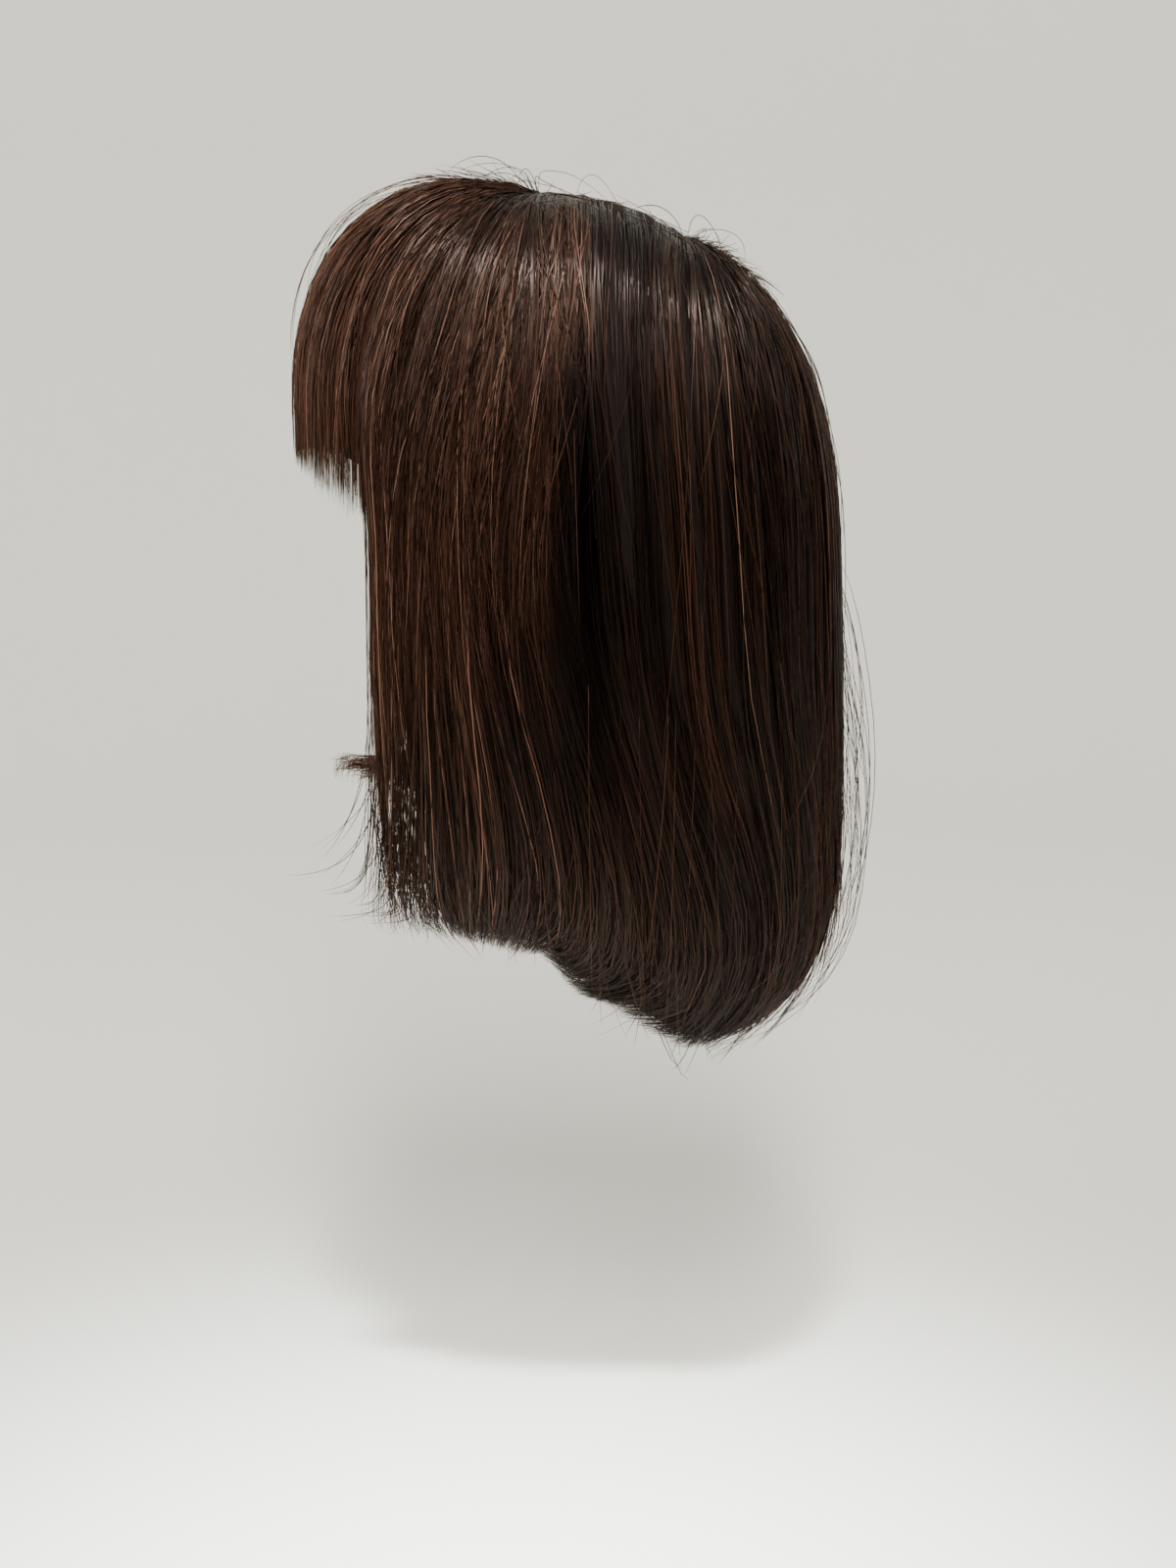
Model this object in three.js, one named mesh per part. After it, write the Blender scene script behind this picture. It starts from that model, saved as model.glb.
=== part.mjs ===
// A bob wig with a full fringe: a close-fitting cap that carries a layered head of straight hair.
// Millimetres, +Z up. The origin is where the wearer's crown bears on the inside of the cap, and the
// face looks along -Y, so +X is the wearer's left.
import * as THREE from 'three';
import { mergeVertices } from 'three/addons/utils/BufferGeometryUtils.js';

// Head that the cap fits
const headHalfWidth = 77;
const headFront = 83;
const headBack = 108;
const headCrown = 95;
const headLower = 110;

// Cap
const capWall = 1.5;
const capDepth = 140;
const capColumns = 40;
const capRows = 8;

// Parting: a line along the middle of the crown, which all the hair falls away from
const partingFront = 5;
const partingLength = 55;
const partingHalfGap = 1.2;
const partingFrontHeight = 11;
const partingRearHeight = -5;
const partingRear = partingFront + partingLength;

// Outline of the hair: reach from the parting, and height of the level where it starts to hang
const frontReach = 96.5;
const sideReach = 91;
const sideReachRear = 88.5;
const backReach = 62.5;
const browHeight = -85;
const earHeight = -116;
const earHeightRear = -138;
const napeHeight = -145;
const hairSwell = 3;

// Hem: the long hair at the sides stops well above the long hair at the back
const frontHem = -254;
const sideHem = -271;
const backSideHem = -314;
const backHem = -327;
const hemStep = 0.5;
const frontCurl = 8;
const sideCurl = 22;
const backSideCurl = 27;
const backCurl = 38;

// Layers
const hairThickness = 12;
const topLayer = 5.5;
const thinnestEdge = 0.8;
const seatGap = 0.7;
const layerGap = 0.6;
const seamGap = 0.6;

// Locks
const lockWidth = 11;
const lockValley = 2.2;
const fringeLockWidth = 9.5;
const fringeLockValley = 1.7;
const fringeHalfAngle = 47;
const cleftOffset = 16;
const cleftWidth = 12;
const curtainSetback = 4;
const flipReach = 46;
const flipLift = 33;
const flipWidth = 20;

// Rows down a flow line: 0 at the parting, DOME_ROWS where the hair starts to hang, LAST_ROW at the hem.
// Out is a share of the reach, and down a share of the drop from the parting to the hanging level.
const dome = [
  { frontOut: 0, frontDown: 0, sideOut: 0, sideDown: 0, backOut: 0, backDown: 0 },
  { frontOut: 0.145, frontDown: -0.034, sideOut: 0.154, sideDown: 0.012, backOut: 0.16, backDown: 0.036 },
  { frontOut: 0.33, frontDown: -0.048, sideOut: 0.33, sideDown: 0.039, backOut: 0.32, backDown: 0.086 },
  { frontOut: 0.52, frontDown: -0.01, sideOut: 0.505, sideDown: 0.102, backOut: 0.5, backDown: 0.157 },
  { frontOut: 0.695, frontDown: 0.089, sideOut: 0.67, sideDown: 0.189, backOut: 0.65, backDown: 0.257 },
  { frontOut: 0.83, frontDown: 0.229, sideOut: 0.8, sideDown: 0.315, backOut: 0.785, backDown: 0.371 },
  { frontOut: 0.917, frontDown: 0.396, sideOut: 0.89, sideDown: 0.465, backOut: 0.88, backDown: 0.514 },
  { frontOut: 0.974, frontDown: 0.594, sideOut: 0.95, sideDown: 0.63, backOut: 0.944, backDown: 0.664 },
  { frontOut: 0.995, frontDown: 0.79, sideOut: 0.984, sideDown: 0.81, backOut: 0.976, backDown: 0.821 },
  { frontOut: 1, frontDown: 1, sideOut: 1, sideDown: 1, backOut: 1, backDown: 1 },
];
const DOME_ROWS = dome.length - 1;

// Below that: shares of the way to the hem, of the swell, of the inward curl and of the hair's thickness
const hang = [
  { drop: 0, swell: 0, curl: 0, thick: 1 },
  { drop: 0.17, swell: 0.5, curl: 0, thick: 1 },
  { drop: 0.35, swell: 1, curl: 0, thick: 1 },
  { drop: 0.53, swell: 1, curl: 0.01, thick: 0.95 },
  { drop: 0.7, swell: 0.9, curl: 0.08, thick: 0.87 },
  { drop: 0.84, swell: 0.6, curl: 0.29, thick: 0.72 },
  { drop: 0.94, swell: 0.2, curl: 0.64, thick: 0.5 },
  { drop: 1, swell: 0, curl: 1, thick: 0.27 },
];
const LAST_ROW = DOME_ROWS + hang.length - 1;

// Rim of the cap: turn from the front in degrees, and depth as a share of the cap's depth
const capRim = [
  { turn: 0, depth: 0.46 },
  { turn: 35, depth: 0.55 },
  { turn: 58, depth: 0.8 },
  { turn: 80, depth: 0.68 },
  { turn: 105, depth: 0.72 },
  { turn: 140, depth: 0.92 },
  { turn: 180, depth: 1 },
];

// Cleft between the top locks at the side: the row, and its width there as a share of the full width
const cleft = [
  { row: 0, open: 0 },
  { row: 5, open: 0.02 },
  { row: 6, open: 0.12 },
  { row: 7, open: 0.35 },
  { row: 8, open: 0.65 },
  { row: 9, open: 0.9 },
  { row: 10, open: 1 },
  { row: LAST_ROW, open: 1 },
];

// How the parting falls from its front to its rear: slowly at first
const partingFall = 2.2;

// Rows where the long hair starts on the cap, is at its full thickness, and where each layer's ends lie
const longHairStart = 5;
const longHairFull = 7;
const topEndsAtTemple = 12.2;
const topEndsAtCleft = 10.4;
const topEndsAtBack = 12.6;
const topEndsBlend = 45;
const topTaperRows = 2.5;
const hemNotch = 0.4;
const flipRows = 3;
const setbackStart = 7;
const setbackRows = 3;

// Widths of neighbouring locks, as shares of the usual width
const lockRhythm = [1, 1.35, 0.75, 1.15, 0.85, 1.3, 0.7, 1.05, 0.9, 1.25];

const hairColour = 0x3d281f;
const fringeColour = 0x44291f;
const longHairColour = 0x33211a;
const capColour = 0x2b211d;

const fullTurn = 360;
const radians = THREE.MathUtils.degToRad;
const lerp = THREE.MathUtils.lerp;
const clamp = THREE.MathUtils.clamp;
const smooth = (t) => THREE.MathUtils.smoothstep(t, 0, 1);

// Value of one column of a table at a place along another, straight between its rows
function lookUp(table, place, key, column) {
  const next = table.findIndex((row) => row[key] >= place);
  if (next <= 0) return next === 0 ? table[0][column] : table.at(-1)[column];
  const from = table[next - 1];
  const to = table[next];
  return lerp(from[column], to[column], (place - from[key]) / (to[key] - from[key]));
}

function betweenRows(table, row, column) {
  const low = clamp(Math.floor(row), 0, table.length - 2);
  return lerp(table[low][column], table[low + 1][column], row - low);
}

// Four sections through the hair, each along one flow line from the parting to the hem
const sections = {
  front: {
    shape: 'front', reach: frontReach, top: partingFrontHeight, level: browHeight,
    hem: frontHem, curl: frontCurl,
  },
  side: {
    shape: 'side', reach: sideReach, top: partingFrontHeight, level: earHeight,
    hem: sideHem, curl: sideCurl,
  },
  rear: {
    shape: 'side', reach: sideReachRear, top: partingRearHeight, level: earHeightRear,
    hem: backSideHem, curl: backSideCurl,
  },
  back: {
    shape: 'back', reach: backReach, top: partingRearHeight, level: napeHeight,
    hem: backHem, curl: backCurl,
  },
};

function domePoint(section, row) {
  const down = betweenRows(dome, row, section.shape + 'Down');
  return {
    out: Math.max(section.reach * betweenRows(dome, row, section.shape + 'Out'), partingHalfGap),
    height: lerp(section.top, section.level, down),
  };
}

function hangingReach(section, place) {
  return section.reach + hairSwell * betweenRows(hang, place, 'swell')
    - section.curl * betweenRows(hang, place, 'curl');
}

// Distances round the hair at the hanging level, from the middle of the fringe to the middle of the back
const quarterRound = (a, b) => (Math.PI / 2) * Math.sqrt((a * a + b * b) / 2);
const frontArc = quarterRound(frontReach, sideReach);
const backArc = quarterRound(sideReachRear, backReach);
const halfRound = frontArc + partingLength + backArc;
const templeAt = frontArc * (fringeHalfAngle / 90);
const cleftAt = frontArc + cleftOffset;

// The flow line at a distance round the hair: negative on the wearer's right, and past halfRound
// where it goes on round the back
function flowLine(around) {
  const folded = Math.abs(around);
  const beyond = folded > halfRound;
  const place = beyond ? 2 * halfRound - folded : folded;
  const hand = (around < 0 ? -1 : 1) * (beyond ? -1 : 1);
  const fan = (turn, centre, from, to) => ({
    hand, centre, from, to, across: Math.sin(turn) ** 2, hemAcross: Math.sin(turn) ** 2,
    sideways: hand * Math.sin(turn + (centre === partingRear ? Math.PI / 2 : 0)),
    back: -Math.cos(turn + (centre === partingRear ? Math.PI / 2 : 0)),
    reachOf: (a, b) => 1 / Math.hypot(Math.cos(turn) / a, Math.sin(turn) / b),
  });
  if (place <= frontArc) {
    return fan((place / frontArc) * (Math.PI / 2), partingFront, sections.front, sections.side);
  }
  if (place >= frontArc + partingLength) {
    const turn = ((place - frontArc - partingLength) / backArc) * (Math.PI / 2);
    return fan(turn, partingRear, sections.rear, sections.back);
  }
  const share = (place - frontArc) / partingLength;
  const pastCleft = (place - cleftAt) / (frontArc + partingLength - cleftAt);
  return {
    hand, centre: lerp(partingFront, partingRear, share), from: sections.side, to: sections.rear,
    across: share ** partingFall, hemAcross: pastCleft < 0 ? 0 : lerp(hemStep, 1, pastCleft),
    sideways: hand, back: 0, reachOf: (a, b) => lerp(a, b, smooth(share)),
  };
}

function outlineAt(line, row) {
  const { from, to } = line;
  if (row <= DOME_ROWS) {
    const near = domePoint(from, row);
    const far = domePoint(to, row);
    return { out: line.reachOf(near.out, far.out), height: lerp(near.height, far.height, line.across) };
  }
  const place = row - DOME_ROWS;
  const level = lerp(from.level, to.level, line.across);
  const hem = lerp(from.hem, to.hem, line.hemAcross);
  return {
    out: line.reachOf(hangingReach(from, place), hangingReach(to, place)),
    height: lerp(level, hem, betweenRows(hang, place, 'drop')),
  };
}

const placeOn = (line, { out, height }) => new THREE.Vector3(line.sideways * out,
  line.centre + line.back * out, height);

// Point of the head, grown by a clearance, that lies straight inward of a point
function onHead(point, clearance) {
  const centre = new THREE.Vector3(0, 0, -headCrown);
  const ray = point.clone().sub(centre);
  const size = Math.hypot(
    ray.x / (headHalfWidth + clearance),
    ray.y / ((ray.y < 0 ? headFront : headBack) + clearance),
    ray.z / ((ray.z < 0 ? headLower : headCrown) + clearance),
  );
  return centre.add(ray.divideScalar(size));
}

// The inner and outer face of all the hair at one place, between which the layers are stacked
function hairBed(around, row) {
  const line = flowLine(around);
  const here = outlineAt(line, row);
  const outer = placeOn(line, here);
  const seat = onHead(outer, capWall + seatGap);
  if (row < DOME_ROWS) return { inner: seat, outer, total: outer.distanceTo(seat) };
  const before = outlineAt(line, row - 0.5);
  const after = outlineAt(line, Math.min(row + 0.5, LAST_ROW));
  const run = Math.hypot(after.out - before.out, after.height - before.height);
  const thick = hairThickness * betweenRows(hang, row - DOME_ROWS, 'thick');
  const total = row === DOME_ROWS ? Math.min(thick, outer.distanceTo(seat)) : thick;
  const inner = placeOn(line, {
    out: here.out + ((after.height - before.height) / run) * total,
    height: here.height - ((after.out - before.out) / run) * total,
  });
  return { inner, outer, total };
}

function hairPoint(around, row, heightOf) {
  const bed = hairBed(around, row);
  return bed.inner.clone().lerp(bed.outer, heightOf(bed.total) / bed.total);
}

// Rows where the top layer's ends lie, and its thickness above them
function topEnds(place) {
  if (place < cleftAt) {
    return lerp(topEndsAtTemple, topEndsAtCleft, smooth((place - templeAt) / (cleftAt - templeAt)));
  }
  return lerp(topEndsAtCleft, topEndsAtBack, smooth((place - cleftAt) / topEndsBlend));
}

// Distance from the middle of the fringe, the shorter way round
function fromFront(around) {
  const folded = Math.abs(around);
  return folded > halfRound ? 2 * halfRound - folded : folded;
}

function topThickness(around, row) {
  const share = (topEnds(fromFront(around)) - row) / topTaperRows;
  return Math.max(topLayer * clamp(share, 0, 1), thinnestEdge);
}

// Height of the long hair's outer face where the top layer covers it
function longHairTop(around, row, total) {
  const full = total - topThickness(around, row) - layerGap;
  const share = (row - longHairStart) / (longHairFull - longHairStart);
  return lerp(thinnestEdge, full, clamp(share, 0, 1));
}

// Columns at the valleys and ridges of locks of uneven width, as shares of a section's width
function lockColumns(width, usual) {
  const count = Math.max(3, Math.round(width / usual));
  const widths = Array.from({ length: count }, (_, i) => lockRhythm[i % lockRhythm.length]);
  const sum = widths.reduce((a, b) => a + b, 0);
  const columns = [{ share: 0, ridge: false, size: widths[0] }];
  let reached = 0;
  for (const size of widths) {
    columns.push({ share: (reached + size / 2) / sum, ridge: true, size });
    reached += size;
    columns.push({ share: reached / sum, ridge: false, size });
  }
  columns.at(-1).share = 1;
  return columns;
}

// How far a lock's ends stop short of its layer's ends, in rows: between locks, and where a lock is narrow
const endsShort = ({ ridge, size }) => hemNotch * (ridge ? Math.max(1 - size, 0) : size);

// One closed wall from two grids of points, outer and inner, each a list of columns running down
function wallGeometry(outer, inner) {
  const columns = outer.length;
  const rows = outer[0].length;
  const positions = [...outer.flat(), ...inner.flat()].flatMap((p) => [p.x, p.y, p.z]);
  const at = (face, i, j) => face * columns * rows + i * rows + j;
  const faces = [];
  const quad = (a, b, c, d) => faces.push([a, b, c], [a, c, d]);
  for (let i = 0; i < columns - 1; i++) {
    for (let j = 0; j < rows - 1; j++) {
      quad(at(0, i, j), at(0, i, j + 1), at(0, i + 1, j + 1), at(0, i + 1, j));
      quad(at(1, i, j), at(1, i + 1, j), at(1, i + 1, j + 1), at(1, i, j + 1));
    }
    quad(at(0, i, 0), at(0, i + 1, 0), at(1, i + 1, 0), at(1, i, 0));
    quad(at(0, i, rows - 1), at(1, i, rows - 1), at(1, i + 1, rows - 1), at(0, i + 1, rows - 1));
  }
  const last = columns - 1;
  for (let j = 0; j < rows - 1; j++) {
    quad(at(0, 0, j), at(1, 0, j), at(1, 0, j + 1), at(0, 0, j + 1));
    quad(at(0, last, j), at(0, last, j + 1), at(1, last, j + 1), at(1, last, j));
  }
  return closedGeometry(positions, faces);
}

// Merges what coincides and drops the faces that this collapses
function closedGeometry(positions, faces) {
  const loose = new THREE.BufferGeometry();
  loose.setAttribute('position', new THREE.Float32BufferAttribute(positions, 3));
  loose.setIndex(faces.flat());
  const merged = mergeVertices(loose, 1e-3);
  const index = merged.index.array;
  const kept = [];
  for (let i = 0; i < index.length; i += 3) {
    const [a, b, c] = index.slice(i, i + 3);
    if (a !== b && b !== c && c !== a) kept.push(a, b, c);
  }
  merged.setIndex(kept);
  merged.computeVertexNormals();
  return merged;
}

// A section of hair between two edges, which may move with the row. Its locks are ridges on the
// outer face.
function hairSection({ from, to, usualLock, rowsFor, inner, outer, nudge }) {
  const columns = lockColumns(to(DOME_ROWS) - from(DOME_ROWS), usualLock);
  const grid = (heightFor) => columns.map((column) => rowsFor(column, lerp(from(DOME_ROWS), to(DOME_ROWS),
    column.share)).map((row) => {
    const around = lerp(from(row), to(row), column.share);
    const point = hairPoint(around, row, (total) => heightFor(around, row, total, column));
    return nudge ? nudge(point, around, row) : point;
  }));
  return wallGeometry(grid(outer), grid(inner));
}

const rowsBetween = (first, last) => Array.from({ length: last - first + 1 }, (_, i) => first + i);
const relief = ({ ridge, size }, depth, thickness) => (ridge ? 0 : Math.min(depth * size, thickness * 0.5));
const growsFromParting = (row) => clamp(0.25 + row / 4, 0, 1);
const halfCleft = (row) => seamGap / 2 + (cleftWidth / 2) * lookUp(cleft, row, 'row', 'open');

function fringe() {
  const edge = templeAt - seamGap;
  const thickness = (row, total) => total * lerp(1, 0.4, clamp(row - (DOME_ROWS - 2), 0, 2) / 2);
  return hairSection({
    from: () => -edge,
    to: () => edge,
    usualLock: fringeLockWidth,
    rowsFor: (column) => [...rowsBetween(0, DOME_ROWS - 1), DOME_ROWS - endsShort(column) / 2],
    inner: (around, row, total) => total - thickness(row, total),
    outer: (around, row, total, column) => total
      - relief(column, fringeLockValley * growsFromParting(row), thickness(row, total)),
  });
}

// Top layer between two edges: it lies on the cap near the parting, and on the long hair below
function topSection(from, to) {
  const lastWholeRow = Math.floor(Math.max(topEndsAtTemple, topEndsAtBack));
  const rowsFor = (column, around) => {
    const ends = topEnds(fromFront(around)) - endsShort(column);
    return [...rowsBetween(0, lastWholeRow), ends].map((row) => Math.min(row, ends));
  };
  const top = (around, row, total, column) => total
    - relief(column, lockValley * growsFromParting(row), topThickness(around, row));
  return hairSection({
    from,
    to,
    usualLock: lockWidth,
    rowsFor,
    inner: (around, row, total) => (row < longHairStart ? 0 : longHairTop(around, row, total) + layerGap),
    outer: top,
  });
}

// Long hair between two edges: thin where it starts on the cap, and at full height past the ends of
// the top layer
function longSection(from, to, nudge) {
  const covered = (around, row) => row <= topEnds(fromFront(around)) + 1;
  return hairSection({
    from,
    to,
    usualLock: lockWidth,
    rowsFor: (column) => [...rowsBetween(longHairStart, LAST_ROW - 1), LAST_ROW - endsShort(column)],
    inner: () => 0,
    outer: (around, row, total, column) => (covered(around, row)
      ? longHairTop(around, row, total)
      : total - relief(column, lockValley, total)),
    nudge,
  });
}

// The ends at the front of the right side flip forward, off the cheek
function flipForward(point, around, row) {
  const along = smooth((row - LAST_ROW + flipRows) / flipRows);
  const near = smooth(1 - (fromFront(around) - templeAt) / flipWidth);
  return point.add(new THREE.Vector3(0, -flipReach, flipLift).multiplyScalar(along * near));
}

// The cap: a shell on the head from the crown to its rim, with a tab in front of each ear
function cap() {
  const rimAt = (turn) => -capDepth * lookUp(capRim, Math.min(turn, fullTurn - turn), 'turn', 'depth');
  const crown = new THREE.Vector3(0, 0, 0);
  const face = (clearance) => {
    const grid = [];
    for (let i = 0; i < capColumns; i++) {
      const turn = (fullTurn * i) / capColumns;
      const outward = new THREE.Vector3(Math.sin(radians(turn)), -Math.cos(radians(turn)), 0);
      const rimRise = (rimAt(turn) + headCrown) / (rimAt(turn) < -headCrown ? headLower : headCrown);
      const lowest = Math.acos(clamp(rimRise, -1, 1));
      grid.push(rowsBetween(1, capRows).map((row) => {
        const fall = (lowest * row) / capRows;
        const ray = outward.clone().multiplyScalar(Math.sin(fall) * headHalfWidth);
        ray.z = Math.cos(fall) * headCrown - headCrown;
        return onHead(ray, clearance);
      }));
    }
    return grid;
  };
  const outer = face(capWall);
  const inner = face(0);
  const positions = [...outer.flat(), ...inner.flat(), crown.clone().setZ(capWall), crown]
    .flatMap((p) => [p.x, p.y, p.z]);
  const at = (side, i, j) => side * capColumns * capRows + (i % capColumns) * capRows + j;
  const apex = 2 * capColumns * capRows;
  const faces = [];
  const quad = (a, b, c, d) => faces.push([a, b, c], [a, c, d]);
  for (let i = 0; i < capColumns; i++) {
    faces.push([apex, at(0, i, 0), at(0, i + 1, 0)], [apex + 1, at(1, i + 1, 0), at(1, i, 0)]);
    for (let j = 0; j < capRows - 1; j++) {
      quad(at(0, i, j), at(0, i, j + 1), at(0, i + 1, j + 1), at(0, i + 1, j));
      quad(at(1, i, j), at(1, i + 1, j), at(1, i + 1, j + 1), at(1, i, j + 1));
    }
    const rim = capRows - 1;
    quad(at(0, i, rim), at(1, i, rim), at(1, i + 1, rim), at(0, i + 1, rim));
  }
  return closedGeometry(positions, faces);
}

const finish = (color, roughness) => new THREE.MeshStandardMaterial({ color, roughness, metalness: 0 });

const wig = new THREE.Group();

function add(name, geometry, material) {
  const mesh = new THREE.Mesh(geometry, material);
  mesh.name = name;
  wig.add(mesh);
}

function curtainEdge(row) {
  return templeAt + seamGap + curtainSetback * smooth((row - setbackStart) / setbackRows);
}

const frontOfCleft = (row) => cleftAt - halfCleft(row);
const rearOfCleft = (row) => cleftAt + halfCleft(row);
const rearOfFarCleft = (row) => 2 * halfRound - rearOfCleft(row);
const leftOfMiddle = () => halfRound - seamGap / 2;
const rightOfMiddle = () => halfRound + seamGap / 2;
const farSide = (edge) => (row) => -edge(row);
const frontOfSeam = () => cleftAt - seamGap / 2;
const rearOfSeam = () => cleftAt + seamGap / 2;
const rearOfFarSeam = () => 2 * halfRound - rearOfSeam();

add('cap', cap(), finish(capColour, 0.9));
add('fringe', fringe(), finish(fringeColour, 0.45));
add('top_hair_left', topSection(curtainEdge, frontOfCleft), finish(hairColour, 0.45));
add('top_hair_right', topSection(farSide(frontOfCleft), farSide(curtainEdge)), finish(hairColour, 0.45));
add('top_hair_back_left', topSection(rearOfCleft, leftOfMiddle), finish(hairColour, 0.45));
add('top_hair_back_right', topSection(rightOfMiddle, rearOfFarCleft), finish(hairColour, 0.45));
add('long_hair_left', longSection(curtainEdge, frontOfSeam), finish(longHairColour, 0.5));
add('long_hair_right', longSection(farSide(frontOfSeam), farSide(curtainEdge), flipForward),
  finish(longHairColour, 0.5));
add('long_hair_back_left', longSection(rearOfSeam, leftOfMiddle), finish(longHairColour, 0.5));
add('long_hair_back_right', longSection(rightOfMiddle, rearOfFarSeam), finish(longHairColour, 0.5));

export default wig;
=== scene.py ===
import math

import bpy
import numpy as np
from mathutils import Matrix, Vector


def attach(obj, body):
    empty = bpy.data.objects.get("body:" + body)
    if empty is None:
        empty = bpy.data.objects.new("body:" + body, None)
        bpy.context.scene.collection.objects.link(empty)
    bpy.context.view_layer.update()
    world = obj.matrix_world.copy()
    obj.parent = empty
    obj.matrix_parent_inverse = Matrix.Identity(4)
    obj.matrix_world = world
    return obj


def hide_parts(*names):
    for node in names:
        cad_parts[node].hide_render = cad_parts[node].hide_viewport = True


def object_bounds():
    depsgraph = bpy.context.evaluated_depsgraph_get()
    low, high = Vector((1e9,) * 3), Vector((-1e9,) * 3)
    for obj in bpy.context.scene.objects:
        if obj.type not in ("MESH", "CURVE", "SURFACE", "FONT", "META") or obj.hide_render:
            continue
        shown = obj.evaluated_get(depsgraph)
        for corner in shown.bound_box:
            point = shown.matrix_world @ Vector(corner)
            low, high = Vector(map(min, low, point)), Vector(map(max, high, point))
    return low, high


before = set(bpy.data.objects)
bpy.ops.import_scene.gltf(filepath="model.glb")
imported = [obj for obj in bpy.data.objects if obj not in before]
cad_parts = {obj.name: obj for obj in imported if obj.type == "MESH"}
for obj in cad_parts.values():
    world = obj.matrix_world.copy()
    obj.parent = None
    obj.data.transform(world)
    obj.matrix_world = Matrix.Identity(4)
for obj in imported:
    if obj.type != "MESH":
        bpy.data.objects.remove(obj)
cad_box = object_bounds()

# Lengths below are in millimetres, and meshes are made in metres
MM = 0.001

# Head that the cap fits
HEAD_HALF_WIDTH = 77
HEAD_FRONT = 83
HEAD_BACK = 108
HEAD_CROWN = 95
HEAD_LOWER = 110
CAP_WALL = 1.5
SEAT_GAP = 0.9

# Parting, and outline of the hair
PARTING_FRONT = 5
PARTING_REAR = 60
PARTING_HALF_GAP = 0.3
PARTING_FALL = 2.2
HAIR_SWELL = 3
HAIR_THICKNESS = 12
HEM_STEP = 0.4
HEM_BLEND = 18
SECTIONS = {
    "front": {"shape": "front", "reach": 96.5, "top": 11, "level": -85, "hem": -254, "curl": 8},
    "side": {"shape": "side", "reach": 91, "top": 11, "level": -116, "hem": -271, "curl": 22},
    "rear": {"shape": "side", "reach": 88.5, "top": -5, "level": -138, "hem": -314, "curl": 27},
    "back": {"shape": "back", "reach": 62.5, "top": -5, "level": -145, "hem": -327, "curl": 38},
}

# Rows down a flow line: 0 at the parting, DOME_ROWS where the hair starts to hang, LAST_ROW at the hem
DOME = {
    "front_out": [0, 0.145, 0.33, 0.52, 0.695, 0.83, 0.917, 0.974, 0.995, 1],
    "front_down": [0, -0.034, -0.048, -0.01, 0.089, 0.229, 0.396, 0.594, 0.79, 1],
    "side_out": [0, 0.154, 0.33, 0.505, 0.67, 0.8, 0.89, 0.95, 0.984, 1],
    "side_down": [0, 0.012, 0.039, 0.102, 0.189, 0.315, 0.465, 0.63, 0.81, 1],
    "back_out": [0, 0.16, 0.32, 0.5, 0.65, 0.785, 0.88, 0.944, 0.976, 1],
    "back_down": [0, 0.036, 0.086, 0.157, 0.257, 0.371, 0.514, 0.664, 0.821, 1],
}
HANG = {
    "drop": [0, 0.17, 0.35, 0.53, 0.7, 0.84, 0.94, 1, 1.05],
    "swell": [0, 0.5, 1, 1, 0.9, 0.6, 0.2, 0, 0],
    "curl": [0, 0, 0, 0.01, 0.08, 0.29, 0.64, 1, 1.4],
    "thick": [1, 1, 1, 0.95, 0.87, 0.72, 0.5, 0.27, 0.2],
}
DOME_ROWS = len(DOME["side_out"]) - 1
LAST_ROW = DOME_ROWS + len(HANG["drop"]) - 2

# Layers and their edges
FRINGE_HALF_ANGLE = 47
CLEFT_OFFSET = 16
CLEFT_WIDTH = 14
CLEFT_ROWS = [0, 5, 6, 7, 8, 9, 10, 16]
CLEFT_OPEN = [0, 0.02, 0.12, 0.35, 0.65, 0.9, 1, 1]
OVERLAP = 2
SEAM_OVERLAP = 8
LAYER_GAP = 0.6
TOP_LAYER = 5.5
THINNEST_EDGE = 0.8
TOP_ENDS_AT_TEMPLE = 12.2
TOP_ENDS_AT_CLEFT = 10.4
TOP_ENDS_AT_BACK = 12.6
TOP_ENDS_BLEND = 45
TOP_TAPER_ROWS = 2.5
LONG_HAIR_START = 5
CURTAIN_SETBACK = 4
SETBACK_START = 7
SETBACK_ROWS = 3
FRINGE_SPREAD = 3.5
FLIP_REACH = 46
FLIP_LIFT = 33
FLIP_WIDTH = 25
FLIP_ROWS = 3
FLIP_FAN = 3.5
FLIP_FAN_RATE = 5
FLIP_EDGE = 1.25

# Locks and tufts: tones run from 0, the darkest hair, to 1, the lightest
STRANDS_IN_TUFT = 7
INNER_LEVEL = 1.05
INNER_ROOM = 0.9
# Painted shade: a share of the tufts is made darker, standing in for the shadows between strands
SHADED_TUFTS = 0.38
TUFT_PAINTED_SHADE = 0.28
LIGHT_STRANDS = 0.06
LIGHT_STRAND_TONE = 0.32
STRAND_TONE_SPREAD = 0.17
# Painted shade: how much darker a strand is for each millimetre that it lies deeper
DEPTH_SHADE = 0.12

# Hollow of the cleft
HOLLOW_HALF_WIDTH = 9
HOLLOW_START = 5
HOLLOW_START_ROWS = 2
HOLLOW_END = 10.6
HOLLOW_END_ROWS = 2.2
HOLLOW_DEPTH = 7
# Painted shade in the hollow of the cleft
HOLLOW_SHADE = 0.85

# Distance back along the hair at each row from SWING_FROM, in the hair beside the cleft
SWING = np.array([0, 3, 12, 24, 31, 27, 14, 0, -11])
SWING_FROM = 9

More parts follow.
